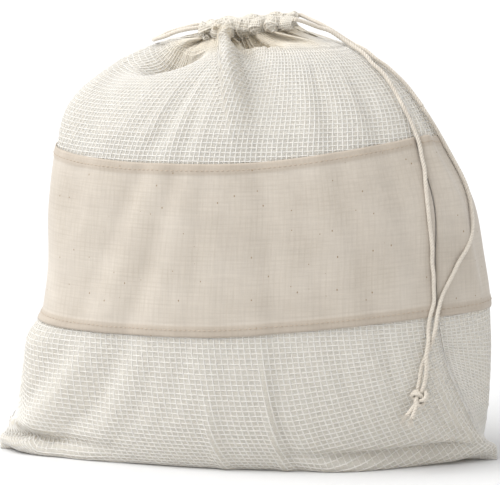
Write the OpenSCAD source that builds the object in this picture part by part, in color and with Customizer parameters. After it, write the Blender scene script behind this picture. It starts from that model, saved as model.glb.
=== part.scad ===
// Mesh produce bag: two mesh panels sewn together at the sides and bottom, a calico band
// on each, and a drawstring through a hem channel on each side of the mouth.
// It stands filled on its bottom. Millimetres, +Z up, the front faces -Y, and the origin
// is on the floor under the middle of the bag.

/* [Bag] */
// Width between the two bottom corners
bag_w = 300; // [280:5:330]
// Depth of the filled bag at its fullest
bag_d = 128; // [116:2:140]
// Height of the mesh panels up to the gathers
panel_h = 249; // [240:1:260]
// How much higher the right side of the cloth sits than the left
lean = 14; // [0:1:16]
// Thickness of the mesh cloth
mesh_t = 1.2; // [1:0.1:1.4]

/* [Bands and seams] */
// Thickness of the calico band
band_t = 0.8; // [0.6:0.1:1]
// Thickness of the sewing thread rows
thread_d = 0.7; // [0.5:0.1:0.8]
// Width of the side seams' turned allowance
allowance = 7; // [5:1:8]

/* [Mouth and drawstring] */
// Length of each gathered hem channel
hem_w = 54; // [50:1:60]
// Height of a hem channel
hem_h = 12; // [11:1:13]
// Degrees that the channels rise towards the right
hem_tilt = 6; // [0:1:7]
// Thickness of a hem channel
hem_t = 5; // [4.5:0.1:5.5]
// Distance from the middle of the mouth to the middle of each channel
hem_y = 9; // [8:0.5:11]
// Diameter of the cord
cord_d = 2.5; // [2:0.1:2.6]
// Diameter of the end knot
knot_d = 9; // [8:0.5:10]

/* [Hidden] */
$fn = 48;

calico = [0.84, 0.80, 0.74];
mesh_colour = [0.90, 0.88, 0.83];
cord_colour = [0.74, 0.70, 0.63];

columns = 36;          // facets across one panel
row_step = 0.5;        // rows of facets, in steps between the profile's levels
probe = 0.02;          // step that finds the surface's slope
gap_probe = 3;         // degrees from a seam at which the cloth's pace is measured
edge_gap = 2;          // cloth edge to the middle of the seam
cloth_gap = 0.3;       // air between two layers of cloth
band_low = 5;          // profile level of the band's bottom edge
band_high = 8;         // profile level of the band's top edge
hem_row = 0.12;        // stitching row's distance inside the band's edge, in levels
cord_sides = 8;
cord_gap = 0.3;        // air between a cord's end and the next piece
hem_z = panel_h + 11;  // middle of the hem channels
hem_inset = 4;         // how much shorter the gathers and stitches are than a channel
hem_row_drop = 4;      // hem stitching below the middle of its channel
channel_room = 1.5;    // play round the cord in its channel
pleat = 0.8;           // depth of the gathers' pleats
pleats = 9;            // pleats in one panel's gathers
gathers_t = 0.7;        // thickness of the gathered cloth
inner_scale = 0.95;    // its inner side against its outer one, in plan
seam_half = 1.3;       // half thickness of a side seam, which grows by seam_spread a level
seam_half_low = 0.4;
seam_spread = 0.5;
allowance_low = 2.5;   // the side seams' allowance at the floor, and its growth a level
allowance_grow = 2;
bottom_seam_h = 2;     // height of the bottom seam's folded allowance
corner_gap = 4;        // bottom seam's end to the bag's corner
seam_corner = 25;      // angle that the bottom seam's outline starts at

// Route of the cord's front end, from the front channel over the shoulder, down beside the
// right seam and into the knot. The upper part ends at the point called shoulder.
front_shoulder = 12;
FRONT_TAIL = [
    [28, -9, 263], [34, -7, 261], [41, -5, 258], [48, -4, 256], [55, -4, 252], [62, -6, 248],
    [69, -10, 244], [75, -14, 238], [81, -16, 233], [86, -19, 227], [90, -21, 221],
    [94, -24, 215], [98, -25, 208], [101, -26, 201], [104, -28, 194], [106, -30, 186],
    [108, -32, 179], [109, -35, 172], [110, -37, 164], [111, -39, 157], [112, -40, 149],
    [113, -40, 141], [114, -41, 133], [114, -41, 125], [115, -42, 118], [115, -42, 110],
    [115, -42, 102], [113, -44, 94], [112, -45, 87], [112, -47, 79], [111, -49, 72],
    [111, -49, 64], [110, -48, 56], [108, -48, 49]
];
// Route of the cord's back end, which hangs wider over the back panel
back_shoulder = 12;
BACK_TAIL = [
    [28, 9, 263], [34, 7, 261], [41, 3, 259], [48, 1, 256], [55, 1, 252], [62, 0, 248],
    [69, -3, 245], [76, -6, 240], [82, -6, 236], [88, -7, 231], [94, -7, 225], [99, -8, 219],
    [104, -10, 213], [108, -10, 207], [112, -8, 200], [116, -7, 193], [120, -7, 186],
    [124, -7, 179], [128, -8, 172], [131, -9, 165], [133, -11, 158], [134, -14, 150],
    [134, -17, 143], [133, -21, 136], [131, -25, 130], [128, -30, 124], [125, -34, 117],
    [122, -37, 111], [119, -40, 104], [117, -43, 95], [116, -45, 87], [114, -45, 79],
    [111, -45, 72], [108, -46, 64], [107, -47, 56], [106, -48, 49]
];
// The cord's bare span between the two channels, on the left
LEFT_SPAN = [
    [-28, -9, 257], [-35, -9, 256], [-43, -8, 254], [-50, -6, 251], [-56, -3, 249],
    [-58, 1, 248], [-55, 5, 249], [-49, 8, 252], [-42, 9, 254], [-35, 9, 256], [-28, 9, 257]
];
KNOT = [107, -48, 46];
CUT_ENDS = [
    [[104, -49, 44], [101, -50, 39], [97, -51, 35]],
    [[106, -50, 42], [104, -51, 37], [102, -52, 32]]
];

// The filled bag's profile, level by level from the bottom seam to the gathers: height at
// the side seam, height in the middle of a panel, half width, half depth, the angle that
// the side seams have turned round the bag, and the lean to the right. Heights are parts
// of panel_h, widths and depths parts of half bag_w and half bag_d.
PROFILE = [
    [0.00, 0.00, 1.000, 0.10, 0, 0],
    [0.04, 0.00, 0.975, 0.40, 6, 0],
    [0.09, 0.00, 0.945, 0.70, 13, 1],
    [0.15, 0.02, 0.925, 0.88, 21, 3],
    [0.23, 0.12, 0.915, 0.97, 30, 6],
    [0.33, 0.33, 0.895, 1.00, 36, 9],
    [0.47, 0.47, 0.862, 1.00, 35, 9],
    [0.61, 0.61, 0.838, 0.98, 31, 6],
    [0.75, 0.75, 0.765, 0.92, 26, 0],
    [0.85, 0.85, 0.700, 0.80, 20, -3],
    [0.93, 0.93, 0.565, 0.65, 14, -2],
    [0.98, 0.98, 0.420, 0.50, 8, 0],
    [1.00, 1.00, 0.320, 0.39, 4, 0]
];
levels = len(PROFILE) - 1;
// Each profile column's own unit, in millimetres or degrees
units = [panel_h, panel_h, bag_w / 2, bag_d / 2, 1, 1];

// ---- the cloth's surface ----

// Smooth curve through four neighbouring values, at f from 0 to 1 between the middle two
function spline(p, q, r, s, f) =
    0.5 * (2 * q + (r - p) * f + (2 * p - 5 * q + 4 * r - s) * f * f
        + (3 * q - p - 3 * r + s) * f * f * f);

// Level i of the profile, carried on in a straight line beyond its two ends
function level(i) =
    i < 0 ? 2 * PROFILE[0] - PROFILE[1]
    : i > levels ? 2 * PROFILE[levels] - PROFILE[levels - 1]
    : PROFILE[i];

// The profile at level t, in millimetres and degrees
function profile(t) =
    let (i = min(levels - 1, floor(max(0, t))), f = t - i)
    [for (k = [0:5])
        units[k] * spline(level(i - 1)[k], level(i)[k], level(i + 1)[k], level(i + 2)[k], f)];

// A point of the cloth at level t. The angle goes round the bag from the left side (0),
// over the front (90), to the right side (180) and the back (270).
function cloth(t, angle) =
    let (
        p = profile(t),
        middle = min(1, 1.3 * pow(abs(sin(angle + p[4])), 0.9)),
        x = -p[2] * cos(angle),
        z = p[0] + (p[1] - p[0]) * middle
    )
    on_floor([x + p[5], -p[3] * sin(angle), z + lean * x / bag_w * pow(sin(180 * z / panel_h), 2)]);

function unit(v) = v / norm(v);

// The way out of the bag at a point of the cloth
function outward(t, angle) =
    unit(cross(
        cloth(t, angle + 1) - cloth(t, angle - 1),
        cloth(t + probe, angle) - cloth(max(0, t - probe), angle)));

// The same point, but never below the floor
function on_floor(p) = [p[0], p[1], max(0, p[2])];

// A point that stands off the cloth by so many millimetres
function off_cloth(t, angle, off) = cloth(t, angle) + off * outward(t, angle);

// Angle of a side seam at level t. seam is 0 for the left one and 180 for the right one.
function seam_angle(t, seam) = seam - profile(t)[4];

// The way up a side seam at level t
function seam_way(t, seam) =
    let (low = max(0, t - probe), high = t + probe)
    unit(cloth(high, seam_angle(high, seam)) - cloth(low, seam_angle(low, seam)));

// Degrees from a side seam to a panel's edge at level t, which is edge_gap from the seam.
// turn is 1 for a panel that starts at the seam and -1 for one that ends there.
function seam_gap(t, seam, turn) =
    let (
        angle = seam_angle(t, seam),
        pace = cloth(t, angle + turn * gap_probe) - cloth(t, angle)
    )
    edge_gap * gap_probe / norm(cross(pace, seam_way(t, seam)));

// Angles of one panel's columns at level t. side is 0 for the front, 180 for the back.
function column_angles(t, side) =
    let (
        start = seam_angle(t, side) + seam_gap(t, side, 1),
        end = seam_angle(t, side + 180) - seam_gap(t, side + 180, -1)
    )
    [for (j = [0:columns]) start + (end - start) * j / columns];

// Rows of points of a panel from level t0 to t1, standing off the cloth by off
function sheet_points(t0, t1, side, off) =
    let (rows = round((t1 - t0) / row_step))
    [for (i = [0:rows]) let (t = t0 + (t1 - t0) * i / rows)
        [for (angle = column_angles(t, side)) off_cloth(t, angle, off)]];

// ---- solids from rows of points ----

// A closed sheet between an outer and an inner grid of points
module sheet(outer, inner) {
    rows = len(outer);
    cols = len(outer[0]);
    count = rows * cols;
    skin = [for (i = [0:rows - 2], j = [0:cols - 2]) let (k = i * cols + j)
        each [[k, k + cols, k + cols + 1], [k, k + cols + 1, k + 1]]];
    lining = [for (f = skin) [f[2] + count, f[1] + count, f[0] + count]];
    rim = concat(
        [for (j = [0:cols - 2]) j],
        [for (i = [0:rows - 2]) i * cols + cols - 1],
        [for (j = [cols - 1:-1:1]) (rows - 1) * cols + j],
        [for (i = [rows - 1:-1:1]) i * cols]);
    wall = [for (m = [0:len(rim) - 1]) let (a = rim[m], b = rim[(m + 1) % len(rim)])
        each [[a, b, b + count], [a, b + count, a + count]]];
    polyhedron(
        [for (row = outer) each row, for (row = inner) each row],
        concat(skin, lining, wall));
}

// A closed bar through a list of rings that have equally many points
module swept(rings) {
    sides = len(rings[0]);
    last = len(rings) - 1;
    walls = [for (i = [0:last - 1], k = [0:sides - 1])
        let (a = i * sides + k, b = i * sides + (k + 1) % sides)
        each [[a, a + sides, b + sides], [a, b + sides, b]]];
    start = [for (k = [1:sides - 2]) [0, k, k + 1]];
    end = [for (k = [1:sides - 2]) [last * sides, last * sides + k + 1, last * sides + k]];
    polyhedron([for (ring = rings) each ring], concat(walls, start, end));
}

// A round tube along a list of points, with one ring at each point
module tube(path, d, sides) {
    last = len(path) - 1;
    swept([for (i = [0:last])
        let (
            way = unit(path[min(last, i + 1)] - path[max(0, i - 1)]),
            reference = abs(way[2]) > 0.8 ? [0, 1, 0] : [0, 0, 1],
            u = unit(cross(reference, way)),
            w = cross(way, u)
        )
        [for (k = [0:sides - 1])
            path[i] + d / 2 * (cos(360 * k / sides) * u + sin(360 * k / sides) * w)]]);
}

// ---- panels, bands and seams ----

module mesh_panel(side) {
    color(mesh_colour) sheet(
        sheet_points(0, levels, side, 0),
        sheet_points(0, levels, side, -mesh_t));
}

module band(side) {
    color(calico) sheet(
        sheet_points(band_low, band_high, side, cloth_gap + band_t),
        sheet_points(band_low, band_high, side, cloth_gap));
}

// A row of stitches round one band, at level t
module band_stitching(side, t) {
    stand_off = 2 * cloth_gap + band_t + thread_d / 2;
    color(calico) tube(
        [for (angle = column_angles(t, side)) off_cloth(t, angle, stand_off)], thread_d, 6);
}

// A side seam: the two panels' allowances, turned into the bag. side is 0 for the left
// seam and 180 for the right one.
module side_seam(side) {
    color(mesh_colour) swept(
        [for (i = [0:2 * levels]) let (
            t = i / 2,
            angle = seam_angle(t, side),
            edge = cloth(t, angle),
            inward = -unit(outward(t, angle + gap_probe) + outward(t, angle - gap_probe)),
            across = unit(cross(inward, seam_way(t, side))),
            half = min(seam_half, seam_half_low + seam_spread * t),
            deep = min(allowance, allowance_low + allowance_grow * t)
        )
        [for (corner = [[-half, 0], [half, 0], [half, deep], [-half, deep]])
            on_floor(edge + corner[0] * across + corner[1] * inward)]]);
}

// The bottom seam lies flat on the floor between the two panels
module bottom_seam() {
    half_w = bag_w / 2 - corner_gap;
    half_d = profile(0)[3] - edge_gap / 4;
    angles = [seam_corner:5:180 - seam_corner];
    color(mesh_colour) linear_extrude(bottom_seam_h) polygon(concat(
        [for (a = angles) [half_w * cos(a), half_d * sin(a)]],
        [for (a = angles) [-half_w * cos(a), -half_d * sin(a)]]));
}

// ---- gathers, hem channels and drawstring ----

// The bunched cloth between a panel's top edge and its hem channel
module gathers(side) {
    front = side == 0 ? -1 : 1;
    rows = 4;
    top = hem_z - hem_h / 2 - cloth_gap;
    low = [for (angle = column_angles(levels, side))
        cloth(levels, angle) + [0, 0, cloth_gap + gathers_t]];
    high = [for (j = [0:columns])
        let (x = front * (0.5 - j / columns) * (hem_w - hem_inset))
        [x, front * hem_y, top + x * tan(hem_tilt)]];
    outer = [for (i = [0:rows]) let (f = i / rows)
        [for (j = [0:columns])
            (1 - f) * low[j] + f * high[j]
            - [0, 0, f * pleat / 2 * (1 - cos(360 * pleats * j / columns))]]];
    inner = [for (row = outer) [for (p = row) [p[0] * inner_scale, p[1] * inner_scale, p[2] - gathers_t]]];
    color(mesh_colour) sheet(outer, inner);
}

// Puts a piece that lies along X at the middle of the hem channel at y
module at_hem(y) {
    translate([0, y, hem_z]) rotate([0, -hem_tilt, 0]) children();
}

// A flat tube of folded mesh, with the cord's way through it
module hem_channel(y) {
    color(mesh_colour) at_hem(y) rotate([90, 0, 90])
        linear_extrude(hem_w, center = true) difference() {
            union() {
                square([hem_t, hem_h - hem_t], center = true);
                for (end = [-1, 1])
                    translate([0, end * (hem_h - hem_t) / 2]) circle(d = hem_t);
            }
            circle(d = cord_d + channel_room);
        }
}

// Two rows of stitches, one on each face of a hem channel
module hem_stitching(y) {
    out = hem_t / 2 + thread_d / 2 + 0.1;
    color(calico) for (face = [-1, 1])
        at_hem(y) translate([0, face * out, -hem_row_drop]) rotate([0, 90, 0])
            cylinder(d = thread_d, h = hem_w - hem_inset, center = true);
}

module channel_run(y) {
    color(cord_colour) at_hem(y) rotate([0, 90, 0])
        cylinder(d = cord_d, h = hem_w, center = true);
}

// A path whose first and last points stand back by cord_gap
function eased(path) =
    let (
        last = len(path) - 1,
        first_way = unit(path[1] - path[0]),
        last_way = unit(path[last - 1] - path[last])
    )
    [for (i = [0:last]) path[i]
        + (i == 0 ? cord_gap * first_way : i == last ? cord_gap * last_way : [0, 0, 0])];

// Part of a route, from point a to point b
function stretch(route, a, b) = [for (i = [a:b]) route[i]];

module cord(path) {
    color(cord_colour) tube(path, cord_d, cord_sides);
}

module end_knot() {
    color(cord_colour) translate(KNOT) sphere(d = knot_d);
}

module cut_ends() {
    for (path = CUT_ENDS) cord(path);
}

mesh_panel(0);  // front_mesh_panel
mesh_panel(180);  // back_mesh_panel
band(0);  // front_band
band(180);  // back_band
band_stitching(0, band_high - hem_row);  // front_band_top_stitching
band_stitching(0, band_low + hem_row);  // front_band_bottom_stitching
band_stitching(180, band_high - hem_row);  // back_band_top_stitching
band_stitching(180, band_low + hem_row);  // back_band_bottom_stitching
side_seam(0);  // left_side_seam
side_seam(180);  // right_side_seam
bottom_seam();
gathers(0);  // front_gathers
gathers(180);  // back_gathers
hem_channel(-hem_y);  // front_hem_channel
hem_channel(hem_y);  // back_hem_channel
hem_stitching(-hem_y);  // front_hem_stitching
hem_stitching(hem_y);  // back_hem_stitching
channel_run(-hem_y);  // drawstring_front_run
channel_run(hem_y);  // drawstring_back_run
cord(eased(LEFT_SPAN));  // drawstring_left_span
cord(eased(stretch(FRONT_TAIL, 0, front_shoulder)));  // front_tail_upper
cord(stretch(FRONT_TAIL, front_shoulder, len(FRONT_TAIL) - 1));  // front_tail_lower
cord(eased(stretch(BACK_TAIL, 0, back_shoulder)));  // back_tail_upper
cord(stretch(BACK_TAIL, back_shoulder, len(BACK_TAIL) - 1));  // back_tail_lower
end_knot();
cut_ends();
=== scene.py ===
"""Mesh produce bag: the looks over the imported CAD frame.

Every soft piece is built from one surface for each panel, which follows the CAD's filled shape.
Threads, bands, seams, stitches and gathers all take their places from that surface.
Metres, +Z up, the front faces -Y.
"""

import math

import bpy
import numpy as np
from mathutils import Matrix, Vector


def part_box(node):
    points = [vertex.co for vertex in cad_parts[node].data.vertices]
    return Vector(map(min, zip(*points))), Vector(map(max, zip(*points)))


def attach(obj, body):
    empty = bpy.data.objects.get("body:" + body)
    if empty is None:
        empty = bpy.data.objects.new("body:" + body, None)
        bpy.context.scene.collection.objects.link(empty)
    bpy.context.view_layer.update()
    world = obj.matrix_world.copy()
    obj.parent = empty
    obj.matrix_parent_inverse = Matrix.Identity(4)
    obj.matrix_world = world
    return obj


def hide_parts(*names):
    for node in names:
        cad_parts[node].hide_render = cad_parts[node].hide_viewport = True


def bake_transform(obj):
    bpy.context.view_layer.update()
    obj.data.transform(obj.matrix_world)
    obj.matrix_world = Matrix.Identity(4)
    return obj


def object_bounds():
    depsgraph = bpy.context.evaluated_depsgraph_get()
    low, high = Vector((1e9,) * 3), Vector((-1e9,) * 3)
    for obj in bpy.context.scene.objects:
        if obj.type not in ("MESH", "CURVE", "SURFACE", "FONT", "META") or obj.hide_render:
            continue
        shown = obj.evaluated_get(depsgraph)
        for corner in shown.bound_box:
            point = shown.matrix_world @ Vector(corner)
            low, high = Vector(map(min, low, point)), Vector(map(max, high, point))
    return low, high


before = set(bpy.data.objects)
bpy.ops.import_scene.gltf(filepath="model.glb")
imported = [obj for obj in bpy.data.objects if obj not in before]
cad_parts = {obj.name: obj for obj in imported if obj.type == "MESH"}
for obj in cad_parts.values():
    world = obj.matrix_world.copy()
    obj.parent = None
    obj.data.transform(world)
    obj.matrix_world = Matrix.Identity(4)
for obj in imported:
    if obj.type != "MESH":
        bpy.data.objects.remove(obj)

CAD_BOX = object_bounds()
SCENE = bpy.context.scene
MM = 0.001
RANDOM = np.random.default_rng(7)

# ---- sizes ----

BAG_W = CAD_BOX[1][0] - CAD_BOX[0][0]  # between the two bottom corners
BAG_D = 128 * MM  # depth of the filled bag
PANEL_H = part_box("front_mesh_panel")[1][2]  # height of the panels, up to the gathers
HEM_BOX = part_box("front_hem_channel")
HEM_Z = (HEM_BOX[0][2] + HEM_BOX[1][2]) / 2
HEM_HALF = HEM_BOX[1][0]
HEM_Y = -(HEM_BOX[0][1] + HEM_BOX[1][1]) / 2
HEM_TILT = math.tan(math.radians(6))  # the hems rise towards the right
LEAN = 14 * MM  # how much higher the cloth's right side sits
CORD_D = 2.5 * MM
FLOOR_GAP = 0.4 * MM  # middle of the lowest cloth above the floor

FLAT_W = 0.320  # a panel as cut, between its seams
WARP_PITCH = 3.4 * MM  # between upright threads
WEFT_PITCH = 2.75 * MM  # between level threads
THREAD_WIDE = 0.45 * MM  # half a thread's width
THREAD_THICK = 0.27 * MM  # half a thread's thickness
WEAVE = 0.09 * MM  # how far a thread rises over a crossing
UPRIGHTS = round(FLAT_W / WARP_PITCH)  # upright threads in a panel
PLEATS = 8.6  # in a panel's gathers
GATHER_FINE = 3  # points on a level thread for each upright, in folds
SIDE_GAP = 0.0015  # first upright's distance from the seam, in u
UPRIGHT_U = np.linspace(SIDE_GAP, 1 - SIDE_GAP, UPRIGHTS)
FOLDED_U = np.linspace(0, 1, GATHER_FINE * (UPRIGHTS - 1) + 1)
HEM_WARMTH = 0.5  # how much of the gathers' painted warm shade the hems take
HEM_RISE = 2.4 * MM  # the fold above the hem's middle
HEM_FALL = 6 * MM  # the hem's lower edge below it
FRONT_CROWD = 1.75  # the front's pleats crowd to the left by this power

BAND_HEM = 6.0 * MM  # its turned hems
BAND_CLEAR = 0.62 * MM  # air between the mesh and the band
CALICO_THICK = 0.45 * MM
HEM_THICK = 0.40 * MM  # what a turned hem adds
STITCH_PITCH = 3.0 * MM
STITCH_HALF = 0.26 * MM  # half a stitch's thickness
STITCH_INSET = 4.3 * MM  # from a band's edge to its stitches
ALLOWANCE = 6.5 * MM  # seam allowance inside the bag
ALLOWANCE_HALF = 0.55 * MM  # half its thickness
OVERLOCK_PITCH = 2.6 * MM
OVERLOCK_POINTS = 8  # points on each turn of the overlock thread

STRANDS = 3  # in the laid cord; the next three are in cord diameters
STRAND_OUT = 0.25  # a strand's distance from the cord's middle
STRAND_HALF = 0.29  # half a strand's thickness
LAY = 2.24  # one turn of a strand
CORD_STEP = 0.55 * MM  # between the points of a cord's path
CORD_REST = 1.3 * MM  # air between a cord and the cloth that it lies on
KNOT_HALF = 1.55 * MM  # half the knot's inner size

# The filled bag's profile, as in the CAD: height at the side seam, height in the middle of a
# panel, half width, half depth, turn of the side seams (degrees) and lean to the right (mm).
PROFILE = np.array([
    [0.00, 0.00, 1.000, 0.02, 0, 0],
    [0.04, 0.00, 0.975, 0.40, 6, 0],
    [0.09, 0.00, 0.945, 0.70, 13, 1],
    [0.15, 0.02, 0.925, 0.88, 21, 3],
    [0.23, 0.12, 0.915, 0.97, 30, 6],
    [0.33, 0.33, 0.895, 1.00, 36, 9],
    [0.47, 0.47, 0.862, 1.00, 35, 9],
    [0.61, 0.61, 0.838, 0.98, 31, 6],
    [0.75, 0.75, 0.765, 0.92, 26, 0],
    [0.85, 0.85, 0.700, 0.80, 20, -3],
    [0.93, 0.93, 0.565, 0.65, 14, -2],
    [0.98, 0.98, 0.420, 0.50, 8, 0],
    [1.00, 1.00, 0.320, 0.39, 4, 0],
])
UNITS = np.array([PANEL_H, PANEL_H, BAG_W / 2, BAG_D / 2, math.pi / 180, MM])
RING = len(PROFILE) - 1  # level of the panel's top, where the neck begins
HEM_FOOT = RING + 1  # level of the hem's lower edge
FOLD = RING + 2  # level of the hem's fold
BAND_LOW = 5  # levels of the band's two edges
BAND_HIGH = 8
FRONT = 0
BACK = 1

# ---- the cord's route, as in the CAD ----

SHOULDER = 12  # the point of a tail's route where its upper piece ends
FRONT_TAIL = MM * np.array([
    (28, -9, 263), (34, -7, 261), (41, -5, 258), (48, -4, 256), (55, -4, 252), (62, -6, 248),
    (69, -10, 244), (75, -14, 238), (81, -16, 233), (86, -19, 227), (90, -21, 221),
    (94, -24, 215), (98, -25, 208), (101, -26, 201), (104, -28, 194), (106, -30, 186),
    (108, -32, 179), (109, -35, 172), (110, -37, 164), (111, -39, 157), (112, -40, 149),
    (113, -40, 141), (114, -41, 133), (114, -41, 125), (115, -42, 118), (115, -42, 110),
    (115, -42, 102), (113, -44, 94), (112, -45, 87), (112, -47, 79), (111, -49, 72),
    (111, -49, 64), (110, -48, 56), (108, -48, 49),
])
BACK_TAIL = MM * np.array([
    (28, 9, 263), (34, 7, 261), (41, 3, 259), (48, 1, 256), (55, 1, 252), (62, 0, 248),
    (69, -3, 245), (76, -6, 240), (82, -6, 236), (88, -7, 231), (94, -7, 225), (99, -8, 219),
    (104, -10, 213), (108, -10, 207), (112, -8, 200), (116, -7, 193), (120, -7, 186),
    (124, -7, 179), (128, -8, 172), (131, -9, 165), (133, -11, 158), (134, -14, 150),
    (134, -17, 143), (133, -21, 136), (131, -25, 130), (128, -30, 124), (125, -34, 117),
    (122, -37, 111), (119, -40, 104), (117, -43, 95), (116, -45, 87), (114, -45, 79),
    (111, -45, 72), (108, -46, 64), (107, -47, 56), (106, -48, 49),
])
LEFT_SPAN = MM * np.array([
    (-28, -9, 257), (-35, -9, 256), (-43, -8, 254), (-50, -6, 251), (-56, -3, 249),
    (-58, 1, 248), (-55, 5, 249), (-49, 8, 252), (-42, 9, 254), (-35, 9, 256), (-28, 9, 257),
])
# the knot, the cut ends and the cord's run in a hem, in millimetres
HEM_MIDDLE = 260
RUN_SAG = [(28, 0), (16, 1), (0, 1.2), (-16, 1), (-28, 0)]  # places across a hem, and the cord's sag
KNOT = np.array((107, -48, 46))
CUT_TIPS = [(-8, -3, -11), (-4, -4, -13)]  # from the knot
FRAYED_FIBRES = 26  # at each cut end


# ---- small helpers ----

def spline(points, at):
    """Catmull-Rom curve through points (n, k), read at positions from 0 to n - 1."""
    points = np.asarray(points, float)
    last = len(points) - 1
    padded = np.concatenate([[2 * points[0] - points[1]], points, [2 * points[-1] - points[-2]]])
    at = np.asarray(at, float)
    i = np.clip(np.floor(at).astype(int), 0, last - 1)
    f = (at - i).reshape(at.shape + (1,) * (points.ndim - 1))
    p, q, r, s = (padded[i + k] for k in range(4))
    return 0.5 * (2 * q + (r - p) * f + (2 * p - 5 * q + 4 * r - s) * f**2
                  + (3 * q - p - 3 * r + s) * f**3)


def unit(v):
    return v / np.maximum(np.linalg.norm(v, axis=-1, keepdims=True), 1e-12)


def step(x, low, high):
    """0 below low, 1 above high, smooth between."""
    t = np.clip((x - low) / (high - low), 0, 1)
    return t * t * (3 - 2 * t)


def raised(x, start, full, until, end):
    """0 outside start and end, 1 between full and until, smooth elsewhere."""
    return step(x, start, full) * (1 - step(x, until, end))


def bump(x, middle, width):
    return np.exp(-(((x - middle) / width) ** 2))


def from_side(u):
    """How far u is from the nearer side seam."""
    return np.minimum(u, 1 - u)


def grid_quads(index):
    """The faces of a grid of vertex numbers."""
    return np.stack([index[:-1, :-1], index[:-1, 1:], index[1:, 1:], index[1:, :-1]], -1).reshape(-1, 4)


def along(points):
    """Running length of each row of points (..., n, 3)."""
    steps = np.linalg.norm(np.diff(points, axis=-2), axis=-1)
    return np.concatenate([np.zeros(steps.shape[:-1] + (1,)), np.cumsum(steps, -1)], -1)


def even_path(points, pitch):
    """The smooth curve through points, as points about pitch apart."""
    fine = spline(points, np.linspace(0, len(points) - 1, 40 * len(points)))
    run = along(fine)
    marks = np.linspace(0, run[-1], max(2, round(run[-1] / pitch) + 1))
    return np.stack([np.interp(marks, run, fine[:, k]) for k in range(3)], 1)


# ---- the cloth's surface ----

def cloth_point(level, angle):
    """The CAD's cloth surface. The angle goes round from the left side (0) over the front."""
    p = spline(PROFILE, level) * UNITS
    middle = np.minimum(1, 1.3 * np.abs(np.sin(angle + p[..., 4])) ** 0.9)
    z = p[..., 0] + (p[..., 1] - p[..., 0]) * middle
    x = -p[..., 2] * np.cos(angle)
    lift = LEAN * x / BAG_W * np.sin(np.pi * z / PANEL_H) ** 2
    return np.stack([x + p[..., 5], -p[..., 3] * np.sin(angle), np.maximum(0, z + lift)], -1)


class Surface:
    """One panel as a fine grid of points, read at u across (0 to 1) and v up (0 to 1)."""

    ROWS = 360
    COLUMNS = 300
    BODY_LEVELS = np.linspace(0, RING, 241)
    HALF_TURN = np.linspace(0, np.pi, 721)
    NECK_LEVELS = np.linspace(0, 2, 61)[1:]  # from the ring up to the fold
    BELOW = -12  # the row that sets the neck's slope at the ring

    def __init__(self, side):
        self.side = side
        self.front = -1 if side == FRONT else 1
        level = self.BODY_LEVELS
        turn = (spline(PROFILE, level) * UNITS)[:, 4]
        start = side * np.pi - turn
        fine = cloth_point(level[:, None], start[:, None] + self.HALF_TURN)
        u = np.linspace(0, 1, self.COLUMNS)
        body = self.respace(fine, u)
        body = np.concatenate([body, self.neck(body[-1], body[self.BELOW], u)])
        level = np.concatenate([level, RING + self.NECK_LEVELS])
        # v follows the cloth's mean length from the bottom seam
        run = along(np.swapaxes(body, 0, 1)).mean(0)
        self.length = run[-1]
        marks = np.linspace(0, run[-1], self.ROWS)
        row = np.interp(marks, run, np.arange(len(run)))
        self.points = self.read_rows(body, row)
        self.level = np.interp(marks, run, level)
        self.u, self.v = u, marks / run[-1]
        self.refresh()

    @staticmethod
    def respace(rows, u):
        """Each row of points, read at equal steps of its own length."""
        out = []
        for points in rows:
            run = along(points)
            out.append([np.interp(u * run[-1], run, points[:, k]) for k in range(3)])
        return np.swapaxes(np.array(out), 1, 2)

    @staticmethod
    def read_rows(grid, row):
        i = np.clip(np.floor(row).astype(int), 0, len(grid) - 2)
        f = (row - i)[:, None, None]
        return grid[i] * (1 - f) + grid[i + 1] * f

    def neck(self, ring, below, u):
        """From the panel's top ring up through the gathers to the hem's fold. The fold rises
        to the right, as the cord does."""
        crowded = u ** FRONT_CROWD if self.side == FRONT else u
        across = (2 * crowded - 1) * -self.front * HEM_HALF
        y = np.full_like(u, self.front * HEM_Y)
        middle = HEM_Z + HEM_TILT * across
        foot = np.stack([across, y, middle - HEM_FALL], 1)
        fold = np.stack([across, y, middle + HEM_RISE], 1)
        keys = np.stack([below, ring, foot, fold])
        return spline(keys, 1 + self.NECK_LEVELS)

    def refresh(self):
        du = np.gradient(self.points, axis=1)
        dv = np.gradient(self.points, axis=0)
        self.normals = unit(np.cross(du, dv))

    def push(self, distance):
        """Moves the surface along its normals by distance (rows, columns)."""
        self.points += distance[..., None] * self.normals
        self.points[..., 2] = np.maximum(self.points[..., 2], FLOOR_GAP)
        self.refresh()

    def v_at(self, level):
        return np.interp(level, self.level, self.v)

    def read(self, u, v, off=0.0):
        """Points at u and v, standing off the cloth by off, and the normals there."""
        u, v = np.broadcast_arrays(np.asarray(u, float), np.asarray(v, float))
        column = np.clip(u, 0, 1) * (self.COLUMNS - 1)
        row = np.clip(v, 0, 1) * (self.ROWS - 1)
        i = np.minimum(row.astype(int), self.ROWS - 2)
        j = np.minimum(column.astype(int), self.COLUMNS - 2)
        f, g = (row - i)[..., None], (column - j)[..., None]

        def mix(grid):
            low = grid[i, j] * (1 - g) + grid[i, j + 1] * g
            high = grid[i + 1, j] * (1 - g) + grid[i + 1, j + 1] * g
            return low * (1 - f) + high * f

        normal = unit(mix(self.normals))
        return mix(self.points) + np.asarray(off)[..., None] * normal, normal

    def grid(self, u, v, off=0.0):
        """The same over all of u by all of v."""
        return self.read(u[None, :], v[:, None], off)


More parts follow.
